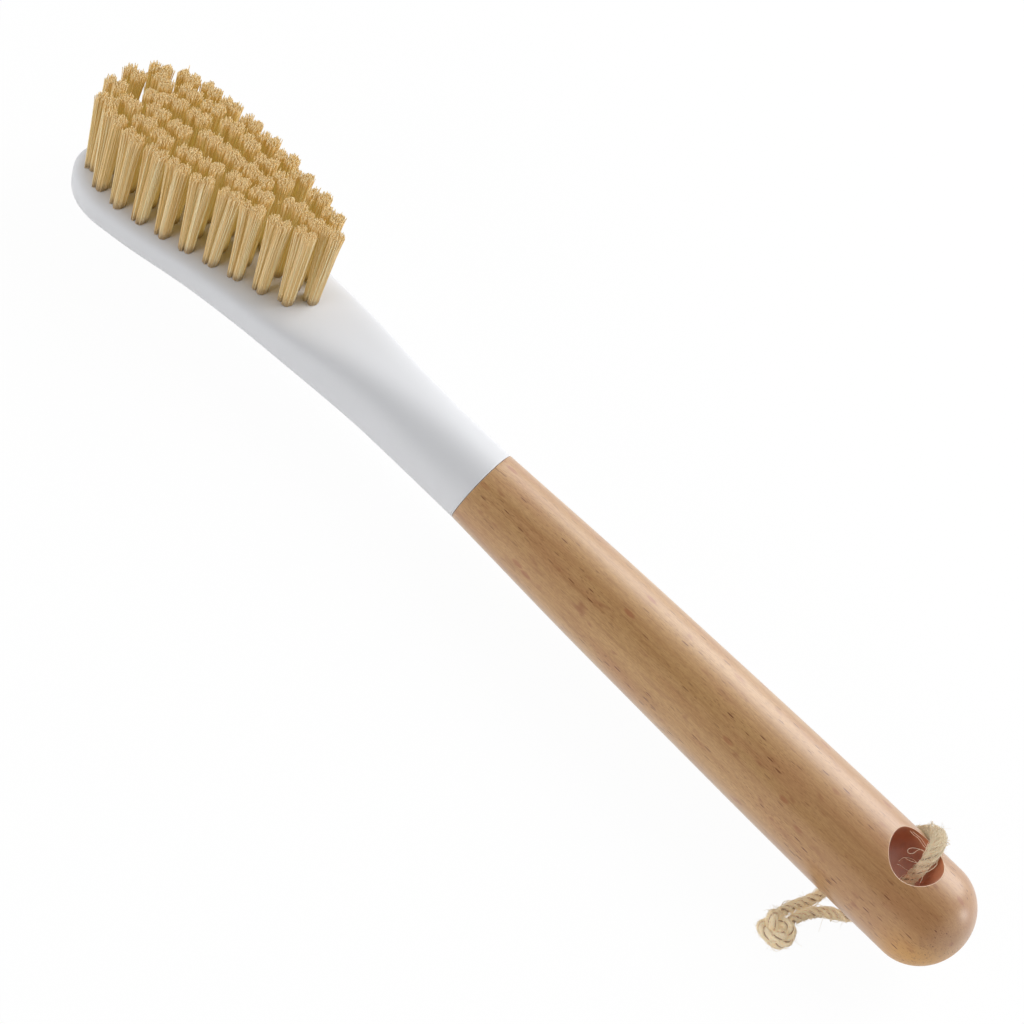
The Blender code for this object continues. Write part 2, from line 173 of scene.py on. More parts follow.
def smoothThrough(points, at):
    # cubic through the points with harmonic-mean slopes, so that it never overshoots
    px, py = np.array(points, float).T
    slope = np.diff(py) / np.diff(px)
    before, after = slope[:-1], slope[1:]
    rising = before * after > 0
    inner = np.where(rising, 2 * before * after / np.where(rising, before + after, 1), 0)
    tangent = np.concatenate((slope[:1], inner, slope[-1:]))
    at = np.clip(at, px[0], px[-1])
    k = np.clip(np.searchsorted(px, at, side="left") - 1, 0, len(slope) - 1)
    span = px[k + 1] - px[k]
    t = (at - px[k]) / span
    value = py[k] + (py[k + 1] - py[k]) * (3 * t**2 - 2 * t**3)
    return value + span * (tangent[k] * (t**3 - 2 * t**2 + t) + tangent[k + 1] * (t**3 - t**2))


# Shader maths

class Wire:
    # the output of a node, with the sums that a pattern needs
    def __init__(self, graph, socket):
        self.graph, self.socket = graph, socket

    def math(self, operation, *others):
        numbers = dict(enumerate((self, *others)))
        return self.graph.node("ShaderNodeMath", {"operation": operation}, numbers)

    def __add__(self, other):
        return self.math("ADD", other)

    def __mul__(self, other):
        return self.math("MULTIPLY", other)

    def __sub__(self, other):
        return self.math("SUBTRACT", other)

    def __rsub__(self, other):
        return self.graph.node("ShaderNodeMath", {"operation": "SUBTRACT"}, {0: other, 1: self})

    __radd__ = __add__
    __rmul__ = __mul__

    def between(self, low, high):
        # 0 below low, 1 above high, smooth in the middle
        settings = {"interpolation_type": "SMOOTHSTEP"}
        numbers = {"Value": self, "From Min": low, "From Max": high}
        return self.graph.node("ShaderNodeMapRange", settings, numbers)


class Graph:
    # the nodes of one material, or of the world
    def __init__(self, tree):
        self.tree = tree

    def node(self, kind, settings, numbers, output=0):
        made = self.tree.nodes.new(kind)
        for key, value in settings.items():
            setattr(made, key, value)
        for key, value in numbers.items():
            if isinstance(value, Wire):
                self.tree.links.new(value.socket, made.inputs[key])
            else:
                made.inputs[key].default_value = value
        return Wire(self, made.outputs[output])

    def seen(self):
        # 1 for what the camera sees straight, in a reflection or through something clear
        kinds = "Camera", "Glossy", "Transmission"
        rays = [self.node("ShaderNodeLightPath", {}, {}, "Is %s Ray" % kind) for kind in kinds]
        return (rays[0] + rays[1] + rays[2]).math("MINIMUM", 1.0)


class Finish(Graph):
    # one material with its Principled shader
    def __init__(self, name, **sockets):
        self.material = bpy.data.materials.new(name)
        self.material.use_nodes = True
        super().__init__(self.material.node_tree)
        self.shader = self.tree.nodes["Principled BSDF"]
        self.feed(**sockets)

    def feed(self, **sockets):
        for key, value in sockets.items():
            target = self.shader.inputs[key.replace("_", " ")]
            if isinstance(value, Wire):
                self.tree.links.new(value.socket, target)
            else:
                target.default_value = value

    def place(self, stretch=(1, 1, 1), turn=(0, 0, 0)):
        # object coordinates in millimetres, stretched and turned
        spot = self.node("ShaderNodeTexCoord", {}, {}, "Object")
        scale = tuple(1000 * s for s in stretch)
        return self.node("ShaderNodeMapping", {}, {"Vector": spot, "Scale": scale, "Rotation": turn})

    def axis(self, letter):
        return self.node("ShaderNodeSeparateXYZ", {}, {"Vector": self.place()}, letter)

    def noise(self, stretch, turn=(0, 0, 0), detail=2.0, rough=0.5, distortion=0.0):
        numbers = {"Vector": self.place(stretch, turn), "Scale": 1.0, "Detail": detail}
        numbers.update({"Roughness": rough, "Distortion": distortion})
        return self.node("ShaderNodeTexNoise", {"noise_dimensions": "3D"}, numbers)

    def attribute(self, name):
        return self.node("ShaderNodeAttribute", {"attribute_name": name}, {}, "Fac")

    def blend(self, amount, under, over):
        return self.node("ShaderNodeMix", {"data_type": "RGBA"}, {"Factor": amount, 6: under, 7: over}, 2)

    def layered(self, ground, tones, shares):
        # named colours painted over the ground one after another, each by its own share
        for name, share in shares.items():
            ground = self.blend(share, ground, paint(tones[name]))
        return ground

    def mixWith(self, other, share):
        # the surface becomes a mix of the Principled shader and another one
        own = Wire(self, self.shader.outputs[0])
        mix = self.node("ShaderNodeMixShader", {}, {0: share, 1: own, 2: other})
        self.tree.links.new(mix.socket, self.tree.nodes["Material Output"].inputs[0])

    def bump(self, height, distance, strength=1.0):
        numbers = {"Height": height, "Distance": distance * mm, "Strength": strength}
        self.feed(Normal=self.node("ShaderNodeBump", {}, numbers))


def paint(colour):
    # a colour as read on a screen, 0 to 255, made linear
    tone = np.array(colour) / 255
    linear = np.where(tone <= 0.04045, tone / 12.92, ((tone + 0.055) / 1.055) ** 2.4)
    return (*linear.tolist(), 1.0)


beechTones = {
    "pale": (198, 156, 104), "warm": (210, 168, 114), "band": (178, 130, 80), "ring": (216, 174, 126),
    "cloud": (186, 130, 90), "spot": (150, 84, 54), "darkFibre": (154, 104, 62),
    "lightFibre": (236, 200, 156), "nearButt": (164, 106, 68), "underButt": (220, 164, 84),
    "line": (156, 104, 64), "blot": (156, 82, 50), "smallRay": (124, 66, 26),
    # bore: a painted redder tint for the light bounced round inside the hole; rim: a painted highlight on
    # the hole's rounded edge
    "ray": (104, 44, 12), "bore": (216, 136, 100), "rim": (250, 226, 200),
}


def makeBeech():
    # satin beech: long soft bands, ring lines, dark spindle-shaped rays along the grain and red spots;
    # darker toward the butt, yellow below it; a pale painted highlight on the hole's rounded rim, and the
    # bore painted redder for the light bounced round inside it
    beech = Finish("beech", IOR=1.5, Specular_IOR_Level=0.3, Sheen_Weight=0.12, Sheen_Roughness=0.5)
    beech.feed(Coat_Roughness=0.36, Coat_IOR=1.52)
    wander = beech.noise((0.012, 0.06, 0.06), detail=3)
    rings = beech.noise((0.006, 0.42, 0.24), (0.35, 0, 0.012), distortion=0.6)
    bands = beech.noise((0.02, 0.75, 0.75), detail=4, rough=0.6)
    clouds = beech.noise((0.045, 0.16, 0.16))
    spots = beech.noise((0.2, 0.5, 0.5))
    fibre = beech.noise((0.6, 5.0, 5.0), detail=4, rough=0.75)
    lines = beech.noise((0.05, 2.4, 0.8), (0.5, 0, 0.01), detail=1, distortion=0.3)
    crowd = beech.noise((0.03, 0.2, 0.2), detail=1).between(0.35, 0.65)
    rays = rayMask(beech, (0.17, 1.25, 1.25), 0.2) * (0.2 + 0.8 * crowd)
    along, up, bore = beech.axis("X"), beech.axis("Z"), beech.attribute("bore")
    under = along.between(106, 120) * (1 - up.between(13, 22))
    ground = beech.blend(wander.between(0.35, 0.68), paint(beechTones["pale"]), paint(beechTones["warm"]))
    tone = beech.layered(ground, beechTones, {
        "band": bands.between(0.42, 0.7) * 0.5,
        "ring": rings.between(0.47, 0.6) * 0.3,
        "cloud": clouds.between(0.5, 0.72) * 0.4,
        "spot": spots.between(0.62, 0.78) * 0.6,
        "darkFibre": fibre.between(0.35, 0.68) * 0.5,
        "lightFibre": fibre.between(0.6, 0.78) * 0.4,
        "nearButt": along.between(60, 110) * 0.3,
        "underButt": under * 0.75,
        "line": lines.between(0.6, 0.68) * 0.3,
        "blot": rayMask(beech, (0.11, 0.3, 0.3), 0.2) * (1 - crowd) * 0.55,
        "smallRay": rayMask(beech, (0.5, 3.6, 3.6), 0.26) * (0.3 + 0.6 * crowd) * 0.7,
        "ray": rays * 0.95,
        # painted light: the bore redder for the light bounced round inside the hole, and a pale painted
        # highlight along its rounded rim
        "bore": bore.between(0.3, 1.0) * 0.7,
        "rim": bore.between(0.0, 0.1) * (1 - bore.between(0.2, 0.7)) * 0.75,
    })
    beech.feed(Base_Color=tone, Roughness=0.42 + 0.12 * fibre, Coat_Weight=1 - 0.95 * under)
    beech.bump(fibre * 0.6 - rays * 0.4, 0.05, 0.5)
    return beech.material


def rayMask(finish, stretch, reach):
    # spindle-shaped flecks: near a scattered point, with the grain's direction stretched
    numbers = {"Vector": finish.place(stretch, (0.2, 0.01, 0.02)), "Scale": 1.0, "Randomness": 1.0}
    far = finish.node("ShaderNodeTexVoronoi", {"feature": "F1"}, numbers)
    return 1 - far.between(reach * 0.55, reach)


satin = {"tone": (227, 228, 231), "roughness": 0.44, "unevenness": 0.1, "relief": 0.02}


def makeWhite():
    # satin white with a faint unevenness, as moulded
    white = Finish("white_satin", Base_Color=paint(satin["tone"]))
    skin = white.noise((0.5, 0.5, 0.5), detail=3)
    white.feed(Roughness=satin["roughness"] + satin["unevenness"] * skin)
    white.bump(skin, satin["relief"], 0.25)
    return white.material


straw = {
    "dark": (226, 190, 130), "pale": (255, 252, 230),
    "tip": (255, 240, 196), "foot": (176, 140, 88),
    "footGlow": (90, 60, 30), "glow": (255, 238, 132), "tipGlow": (255, 184, 60),
    "through": (255, 236, 190), "throughShare": 0.3, "glowStrength": 0.1,
    "sheenTint": (1.0, 0.82, 0.55, 1.0),
}


def makeBristle():
    # pale straws, paler at the cut ends, brown at the foot; a faint glow, golden at the cut ends and dim at
    # the foot, stands in for the light that passes through a whole tuft
    bristle = Finish("bristle", Roughness=0.3, IOR=1.55, Sheen_Weight=0.9, Sheen_Roughness=0.6)
    bristle.feed(Sheen_Tint=straw["sheenTint"])
    along = bristle.attribute("along")
    tone = bristle.blend(bristle.attribute("shade"), paint(straw["dark"]), paint(straw["pale"]))
    tone = bristle.layered(tone, straw, {
        "tip": along.between(0.88, 1.0) * 0.6,
        "foot": (1 - along.between(0.0, 0.12)) * 0.85,
    })
    glow = bristle.blend(along.between(0.0, 0.2), paint(straw["footGlow"]), paint(straw["glow"]))
    glow = bristle.layered(glow, straw, {"tipGlow": along.between(0.86, 1.0) * 0.6})
    bristle.feed(Base_Color=tone, Emission_Color=glow, Emission_Strength=straw["glowStrength"])
    through = bristle.node("ShaderNodeBsdfTranslucent", {}, {"Color": paint(straw["through"])})
    bristle.mixWith(through, straw["throughShare"])  # light that comes out on the far side
    return bristle.material


fibres = {
    "dark": (236, 196, 138), "pale": (255, 246, 218),
    # deep: painted shade down in the grooves between the plies
    "patch": (184, 136, 82), "deep": (108, 70, 38), "unlit": (0, 0, 0),
    "glowStrength": 0.36,
    "glowFades": (5, 15),  # height above the table in mm
    "sheenTint": (1.0, 0.93, 0.8, 1.0),
}


def makeJute():
    # pale fibres, with painted shade down between the plies; a faint glow, stronger near the white table,
    # stands in for the light that passes through loose fibres
    jute = Finish("jute", Roughness=0.85, Sheen_Weight=1.0, Sheen_Roughness=0.7)
    jute.feed(Sheen_Tint=fibres["sheenTint"])
    grain = jute.attribute("grain")
    patches = jute.noise((1.4, 1.4, 1.4), detail=4, rough=0.75)
    threads = jute.noise((4.5, 4.5, 4.5), detail=3, rough=0.7)
    paleness = grain * 0.5 + threads.between(0.35, 0.65) * 0.5
    tone = jute.layered(jute.blend(paleness, paint(fibres["dark"]), paint(fibres["pale"])), fibres, {
        "patch": patches.between(0.56, 0.68) * 0.6,
        # painted shade in the grooves between the plies
        "deep": jute.attribute("depth").between(0.45, 0.95) * 0.9,
    })
    glow = jute.layered(tone, fibres, {"unlit": jute.axis("Z").between(*fibres["glowFades"]) * 0.55})
    jute.feed(Base_Color=tone, Emission_Color=glow, Emission_Strength=fibres["glowStrength"])
    jute.bump(threads + 0.5 * grain, 0.3, 1.0)
    return jute.material


# Twine: its route is the solid's, from the point on the table under the cross hole

twine = {
    "diameter": 2.2, "holeX": 104.263,
    "route": (
        (-7.9, -16.15, 2), (-7, -13.6, 1.5), (-6, -11.3, 1.25), (-4.7, -9.25, 1.2),
        (-3.05, -7.5, 1.15), (-1.15, -6, 1.2), (0.75, -4.68, 1.75), (2.3, -3.6, 3.2),
        (3.15, -2.95, 5.3), (3.35, -2.3, 8.3), (3.35, -1.5, 11.6), (3.25, -0.7, 14.9), (3.1, 0.1, 18.2),
        (2.9, 1, 21.2), (2.7, 1.88, 23.2), (2.45, 3.35, 24.65), (2.15, 5.15, 25.25), (1.8, 7, 25),
        (1.4, 8.7, 24), (0.9, 10.3, 22), (0.35, 11.55, 19.5), (-0.4, 12.4, 16.8),
        (-1.3, 12.8, 14), (-2.3, 12.6, 11.1), (-3.3, 11.6, 8.2), (-4.2, 10, 5.6), (-5, 7.9, 3.4),
        (-5.7, 5.3, 1.85), (-6.1, 2.4, 1.2), (-6.15, -0.5, 1.15), (-6.05, -3.1, 1.15),
        (-6.35, -5.7, 1.15), (-7.15, -8.1, 1.15), (-8.25, -10.4, 1.15), (-9.4, -13.1, 1.4),
        (-10.5, -16.15, 2),
    ),
    "plies": 3,
    "layLength": 6.2,  # one full turn of the plies
    "plyOffset": 0.53, "plyRadius": 0.59,
    "sides": 48, "step": 0.12,
    "grooves": (5, 9, 14),  # fine waves over each ply
    "grooveDepth": 0.035, "grooveDrift": (5, 11),
    "lumps": ((3.1, 1), (1.7, 2), (5.3, 0)),  # length of each wave, and waves round the twine
    "lumpHeight": 0.04,
    "openAt": 0.5,  # share of the length where the plies open, at the hole's rim
    "openWidth": 0.09, "openMore": 0.3,
    "exitAt": 0.2,  # share of the length where the twine comes up into the hole
    "fuzz": 4400,
    "crowded": 0.25,  # share of the loose fibres that stands round the hole
    "yarns": 600, "frayedYarns": 240,
    "frayed": (0.4, 0.57),  # share of the length that shows in and over the hole
    "hairs": (
        ((-3.8, 4.4, 24), (-2.9, 4, 24.3), (-1.6, 4.2, 24.3), (0.2, 4, 24), (2, 3.6, 24.3)),
        ((-3.3, 4.6, 24.2), (-2.2, 4.5, 24.4), (-1.1, 4.7, 24.3), (0.5, 4.5, 24), (2.1, 3.9, 24.5)),
        ((2.2, 3.4, 24), (0.3, 3.6, 23), (-0.5, 1.4, 23), (-1.3, 0.7, 23), (-1.7, 1.4, 23),
         (-1, 2.6, 23), (0.5, 3.2, 23.6), (2.1, 2.9, 23.8)),
        ((3, 2.4, 20.5), (3.6, 2, 19.2), (4.8, 1.3, 18)),
        ((2.8, 1, 20), (1.2, 0.2, 19.5), (-0.4, -0.5, 20), (-1.2, -1.4, 20.6)),
        ((2.6, 0.6, 18), (1.4, -1, 17), (1.2, -2.8, 16.8)),
        ((2.8, 2.2, 22.5), (1.6, 1.2, 22.2), (0.2, 0.7, 21.6), (-0.8, 0.9, 21)),
        ((3, 1.6, 22), (4.2, 0.2, 21.4), (4.4, -1.6, 21.6)),
        ((2.4, 1.8, 21.4), (0.8, 2.6, 20.4), (-0.6, 2.2, 19.4), (-1, 0.8, 19)),
    ),
    "hairWidth": 0.048,
}
knot = {
    "middle": (-9.2, -20.3, 2.2),
    "turns": 2, "folds": 3, "stations": 640,
    "ringRadius": 2.1, "foldRadius": 0.95, "heightShare": 1.3,
    "plyOffset": 0.54, "plyRadius": 0.66, "layLength": 5.2,
    "fuzz": 1500, "yarns": 160,
}
fuzz = {
    "stations": 6,
    "crowdSpread": 0.045,  # of the fibres round the hole, as a share of the length
    "length": (2.0, 0.3),
    "longest": 1.6, "lift": (0.05, 0.65), "curl": 0.6, "slant": (0.35, 0.5),
    "rooted": 0.82,  # share of the twine's radius
    "lowest": 0.05, "width": (0.025, 0.05), "taper": 0.6,
}
yarn = {
    "stations": 9, "span": (3.0, 7.0),
    "turn": (1.2, 1.2),  # mean and spread of its way round the twine, in radians
    "rooted": 0.9, "lift": 0.09, "frayedLift": 0.13,
    "uneven": 0.05, "lowest": 0.06, "width": (0.035, 0.075),
}


def smoothRoute(points, step):
    # Catmull-Rom curve: between two points a cubic, at each one parallel to the line
    # through its neighbours, read again at even steps
    points = np.array(points, float)
    ends = np.vstack((2 * points[0] - points[1], points, 2 * points[-1] - points[-2]))
    a, b, c, d = (ends[k : len(ends) - 3 + k, None] for k in range(4))
    parts = 40
    t = (np.arange(parts) / parts)[None, :, None]
    fine = a * (2 * t**2 - t**3 - t) + b * (2 - 5 * t**2 + 3 * t**3)
    fine = 0.5 * (fine + c * (4 * t**2 - 3 * t**3 + t) + d * (t**3 - t**2))
    fine = np.vstack((fine.reshape(-1, 3), points[-1:]))
    walked = np.append(0, np.cumsum(np.linalg.norm(np.diff(fine, axis=0), axis=1)))
    places = np.linspace(0, walked[-1], int(walked[-1] / step) + 1)
    return np.column_stack([np.interp(places, walked, fine[:, k]) for k in range(3)]), places


def unit(vectors):
    # each vector over its own length
    return vectors / np.linalg.norm(vectors, axis=-1, keepdims=True)


def steadyFrames(line, start):
    # two side axes at each point of a line: the one before, less its part along the new
    # direction, so that they don't twist
    along = unit(np.gradient(line, axis=0))
    side = start - np.dot(start, along[0]) * along[0]
    sides = []
    for direction in along:
        side = unit(side - np.dot(side, direction) * direction)
        sides.append(side)
    sides = np.array(sides)
    return along, sides, np.cross(along, sides)


def laidTube(line, places, across, up, offset, radius, lay):
    # the outer line of a few round plies: at angle a from the nearest ply it reaches
    # offset * cos a + root(radius squared - (offset * sin a) squared), and the whole
    # section turns once in each lay; grooves and slow lumps scale that reach
    sides, plies = twine["sides"], twine["plies"]
    around = fullTurn(sides)
    walked = 2 * np.pi * places[:, None]
    sector = 2 * np.pi / plies
    turn = (around - walked / lay + sector / 2) % sector - sector / 2
    offset, radius = np.reshape(offset, (-1, 1)), np.reshape(radius, (-1, 1))
    reach = offset * np.cos(turn) + np.sqrt(np.maximum(radius**2 - (offset * np.sin(turn)) ** 2, 1e-4))
    depth = 1 - (reach - reach.min()) / (reach.max() - reach.min())
    rng = np.random.default_rng(7)
    groove = np.zeros_like(reach)
    for wave in twine["grooves"]:
        shift = rng.uniform(0, 2 * np.pi)
        drift = walked / rng.uniform(*twine["grooveDrift"])
        groove += np.sin(wave * plies * turn + shift + drift) / len(twine["grooves"])
    lumps = sum(np.sin(walked / length + around * waves + length) for length, waves in twine["lumps"])
    lumps = lumps / len(twine["lumps"])
    reach = reach * (1 + twine["grooveDepth"] * groove + twine["lumpHeight"] * lumps)
    verts = line[:, None] + reach[..., None] * spoke(around, across[:, None], up[:, None])
    return verts, depth, 0.5 + 0.5 * groove


def fuzzStrands(line, along, across, up, count, reach, seed, crowded=0.0):
    # loose fibres: each leaves the twine at a slant, straight along it and outward by
    # t * (1.3 - 0.8 t), and curls aside with t squared
    rng = np.random.default_rng(seed)
    at = rng.integers(2, len(line) - 2, count)
    inCrowd = rng.uniform(size=count) < crowded
    at = np.where(inCrowd, rng.normal(0.5, fuzz["crowdSpread"], count) * len(line), at).astype(int)
    at = np.clip(at, 2, len(line) - 3)
    around = rng.uniform(0, 2 * np.pi, count)
    out = spoke(around, across[at], up[at])
    aside = np.cross(along[at], out)
    length = np.minimum(rng.gamma(*fuzz["length"], (count, 1)), fuzz["longest"])
    lift = rng.uniform(*fuzz["lift"], (count, 1))
    curl = rng.normal(0, fuzz["curl"], (count, 1))
    slant = rng.normal(*fuzz["slant"], (count, 1))
    way = np.where(rng.uniform(size=(count, 1)) < 0.5, -1, 1)
    t = np.linspace(0, 1, fuzz["stations"])[None, :, None]
    start = line[at] + out * (reach[at][:, None] * fuzz["rooted"])
    path = start[:, None] + length[:, None] * (
        along[at][:, None] * (way[:, None] * t)
        + out[:, None] * (lift[:, None] * t * (1.3 - 0.8 * t))
        + aside[:, None] * (slant[:, None] * t + curl[:, None] * t**2)
    )
    path[..., 2] = np.maximum(path[..., 2], fuzz["lowest"])
    width = rng.uniform(*fuzz["width"], (count, 1, 1))
    return strandTubes(path, width * (1 - fuzz["taper"] * t), 3, rng.uniform(size=(count, 1)))


def yarnStrands(line, across, up, count, reach, seed, closed=False, lift=yarn["lift"]):
    # loosened yarns: each runs along the twine over its surface, drifts round it, and
    # lifts off in between by a half sine
    rng = np.random.default_rng(seed)
    t = np.linspace(0, 1, yarn["stations"])[None, :]
    span = rng.uniform(*yarn["span"], (count, 1)) / twine["step"]
    at = rng.uniform(0, len(line) if closed else len(line) - 1 - span, (count, 1)) + span * t
    at = at.astype(int) % len(line)
    around = rng.uniform(0, 2 * np.pi, (count, 1)) + rng.normal(*yarn["turn"], (count, 1)) * t
    away = yarn["rooted"] + rng.gamma(2.0, lift, (count, 1)) * np.sin(np.pi * t)
    away = (away + yarn["uneven"] * rng.normal(size=at.shape)) * reach[at]
    path = line[at] + away[..., None] * spoke(around, across[at], up[at])
    path[..., 2] = np.maximum(path[..., 2], yarn["lowest"])
    width = rng.uniform(*yarn["width"], (count, 1, 1)) * np.ones(t.shape)[..., None]
    return strandTubes(path, width, 4, rng.uniform(size=(count, 1)))


def longHair(points, origin):
    # one loose fibre through listed points
    path = smoothRoute(points, 0.2)[0] + origin
    return strandTubes(path[None], np.full((1, len(path), 1), twine["hairWidth"]), 4, np.ones((1, 1)))


def strandTubes(path, radius, sides, *marks):
    # thin tubes: a ring round each station, square to the path, and a flat fan over each
    # end; path is strands by stations by 3, radius the same by 1, marks strands by stations
    strands, stations = path.shape[:2]
    along = unit(np.gradient(path, axis=1))
    helper = np.where(np.abs(along[:, :1, 2:]) < 0.8, (0.0, 0, 1), (1.0, 0, 0))
    across = unit(np.cross(along, helper))
    up = np.cross(along, across)
    ring = spoke(fullTurn(sides), across[:, :, None], up[:, :, None])
    verts = path[:, :, None] + radius[..., None] * ring
    first = (np.arange(strands) * stations * sides)[:, None, None]
    quads = (first + gridQuads(stations, sides)).reshape(-1, 4)
    fan = np.array([[0, k + 1, k] for k in range(1, sides - 1)])
    last = (stations - 1) * sides
    tris = np.concatenate((first + fan, first + last + fan[:, ::-1]), 1).reshape(-1, 3)
    marks = [np.broadcast_to(mark[..., None], (strands, stations, sides)).ravel() for mark in marks]
    return verts.reshape(-1, 3), quads, tris, *marks


def makeTwinePiece(name, line, places, frames, offset, radius, lay, finish, closed):
    # a laid tube as one piece: its last row joined to its first, or a fan over each end
    sides, rows = twine["sides"], len(line)
    verts, depth, grain = laidTube(line, places, *frames[1:], offset, radius, lay)
    verts, depth, grain = verts.reshape(-1, 3), depth.ravel(), grain.ravel()
    quads, tris = gridQuads(rows + closed, sides) % (rows * sides), ()
    if not closed:
        verts = np.vstack((verts, line[:1], line[-1:]))
        tris = endFans(rows, sides, rows * sides)
        depth, grain = np.append(depth, (0.5, 0.5)), np.append(grain, (0.5, 0.5))
    verts[:, 2] = np.maximum(verts[:, 2], 0.03)  # just clear of the table
    values = {"depth": depth, "grain": grain}
    return makePiece(name, verts * mm, quads, finish, tris, values, outward=True)


def makeFibres(name, finish, parts):
    # loose fibres of one kind in one piece; parts are strandTubes results
    verts, quads, tris, shade = zip(*parts)
    bases = np.cumsum([0, *map(len, verts)])
    quads, tris = (np.vstack([face + base for face, base in zip(faces, bases)]) for faces in (quads, tris))
    values = {"depth": np.zeros(bases[-1]), "grain": 0.55 + 0.45 * np.concatenate(shade)}
    return makePiece(name, np.vstack(verts) * mm, quads, finish, tris, values)


def knotRoute(middle):
    # trefoil: round a ring twice, while the distance from the ring and the height go
    # three times through a cosine and a sine; with it the places along it and its frames
    turn = fullTurn(knot["stations"])
    reach = knot["ringRadius"] + knot["foldRadius"] * np.cos(knot["folds"] * turn)
    height = knot["heightShare"] * knot["foldRadius"] * np.sin(knot["folds"] * turn)
    wound = knot["turns"] * turn
    tied = np.column_stack((reach * np.cos(wound), reach * np.sin(wound), height)) + middle
    walked = np.append(0, np.cumsum(np.linalg.norm(np.diff(tied, axis=0), axis=1)))
    total = walked[-1] + np.linalg.norm(tied[0] - tied[-1])
    lay = total / round(total / knot["layLength"])  # whole turns, so that the seam meets
    along = unit(np.roll(tied, -1, axis=0) - np.roll(tied, 1, axis=0))
    core = unit((tied - middle) * (1, 1, 0)) * knot["ringRadius"]
    across = tied - middle - core
    across = unit(across - np.sum(across * along, 1, keepdims=True) * along)
    return tied, walked, lay, (along, across, np.cross(along, across))


def makeTwine(finish):
    # the twine, whose plies swell where they open by a bell curve, the knot, and the
    # loose fibres and yarns that lie over both
    origin = np.array([twine["holeX"], 0, 0])
    line, places = smoothRoute(twine["route"], twine["step"])
    line = line + origin
    share = places / places[-1]
    opened = 1 + twine["openMore"] * np.exp(-(((share - twine["openAt"]) / twine["openWidth"]) ** 2))
    offset, radius = twine["plyOffset"] * opened, twine["plyRadius"] * opened
    frames = steadyFrames(line, np.array([1.0, 0, 0]))
    loop = makeTwinePiece("twine", line, places, frames, offset, radius, twine["layLength"], finish, False)
    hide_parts("twine_loop")

    tied, walked, lay, knotFrames = knotRoute(origin + knot["middle"])
    sizes = knot["plyOffset"], knot["plyRadius"]
    knotPiece = makeTwinePiece("knot", tied, walked, knotFrames, *sizes, lay, finish, True)
    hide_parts("twine_knot")

    frayed = slice(*(int(share * len(line)) for share in twine["frayed"]))
    knotReach = np.full(len(tied), sum(sizes))
    reach = offset + radius
    fuzzPiece = makeFibres("twine_fuzz", finish, (
        fuzzStrands(line, *frames, twine["fuzz"], reach, 11, twine["crowded"]),
        fuzzStrands(tied, *knotFrames, knot["fuzz"], knotReach, 12),
    ))
    sides = [side[frayed] for side in frames[1:]]
    yarnPiece = makeFibres("twine_yarns", finish, (
        yarnStrands(line, *frames[1:], twine["yarns"], reach, 13),
        yarnStrands(line[frayed], *sides, twine["frayedYarns"], reach[frayed], 15, lift=yarn["frayedLift"]),
        yarnStrands(tied, *knotFrames[1:], knot["yarns"], knotReach, 14, closed=True),
        *(longHair(points, origin) for points in twine["hairs"]),
    ))
    print("twine and knot made, %.1f mm of twine" % places[-1])


# Handle: turned beech with a cross hole

handle = {
    "length": 135.0,
    "radii": ((0, 8.75), (0.3, 10.2), (0.88, 11.5), (1, 11.5)),  # at shares of the length
    "buttRound": 10.6, "seamGap": 0.025, "edgeEase": 0.2,
    "socketRadius": 4.8, "socketDepth": 22.3, "socketEase": 0.3,
    "faceSteps": (0.4, 0.02),  # rows on the joint's face, in from its edge
    "holeX": 114.7, "holeRadius": 6.3, "rimRound": 0.22, "mouthReach": 9.4,
    "sides": 144, "mouthSteps": 20,
    "edgeRows": 7, "bodyRows": 130, "mouthRows": 40, "buttRows": 30,
    "apronRows": 10, "rimRows": 6, "wallRows": 12,
}


def handleRadius(x):
    # smooth through the joint, the middle and the swell
    return smoothThrough(handle["radii"], x / handle["length"])


def handleProfile():
    # from the socket's floor out over the joint, by a quarter circle on to the body, and
    # along to the butt, whose radius falls off as a quarter circle does
    ease, gap, length = handle["edgeEase"], handle["seamGap"], handle["length"]
    socket, lip = handle["socketRadius"], handle["socketEase"]
    low, high = (handle["holeX"] + way * handle["mouthReach"] for way in (-1, 1))
    faceRadius = handleRadius(0) - ease
    turn = np.linspace(0, np.pi / 2, handle["edgeRows"])
    inner = [(handle["socketDepth"], socket), (gap + lip, socket), (gap, socket + lip)]
    inner += [(gap, faceRadius - step) for step in handle["faceSteps"]]
    edge = [(gap + ease * (1 - math.cos(t)), faceRadius + ease * math.sin(t)) for t in turn]
    body = np.concatenate((
        np.linspace(gap + ease, low, handle["bodyRows"])[1:],
        np.linspace(low, high, handle["mouthRows"])[1:],
        np.linspace(high, length - handle["buttRound"], 3)[1:],
    ))
    butt = np.linspace(0, np.pi / 2, handle["buttRows"])[1:-1]
    rounded = length - handle["buttRound"] * (1 - np.sin(butt))
    x, radius = np.array(inner + edge).T
    x = np.concatenate((x, body, rounded))
    radius = np.concatenate((radius, handleRadius(body), handleRadius(rounded) * np.cos(butt)))
    firstMouthRow = int(np.argmin(np.abs(x[len(inner) :] - low))) + len(inner)
    return x, radius, firstMouthRow, firstMouthRow + handle["mouthRows"] - 1


def mouthLoop(rowLow, rowHigh, colLow, colHigh, sides):
    # grid vertices round a window: up its first column, along, down its last and back
    step = 1 if colHigh > colLow else -1
    rows, cols = np.arange(rowLow, rowHigh), np.arange(colLow, colHigh, step)
    first = rows * sides + colLow % sides, rowHigh * sides + cols % sides
    rows, cols = np.arange(rowHigh, rowLow, -1), np.arange(colHigh, colLow, -step)
    back = rows * sides + colHigh % sides, rowLow * sides + cols % sides
    return np.concatenate((*first, *back))


def overHole(x, y):
    # height of the handle's surface beside the hole's axis: root of radius squared less
    # y squared
    return np.sqrt(handleRadius(x + handle["holeX"]) ** 2 - y**2)


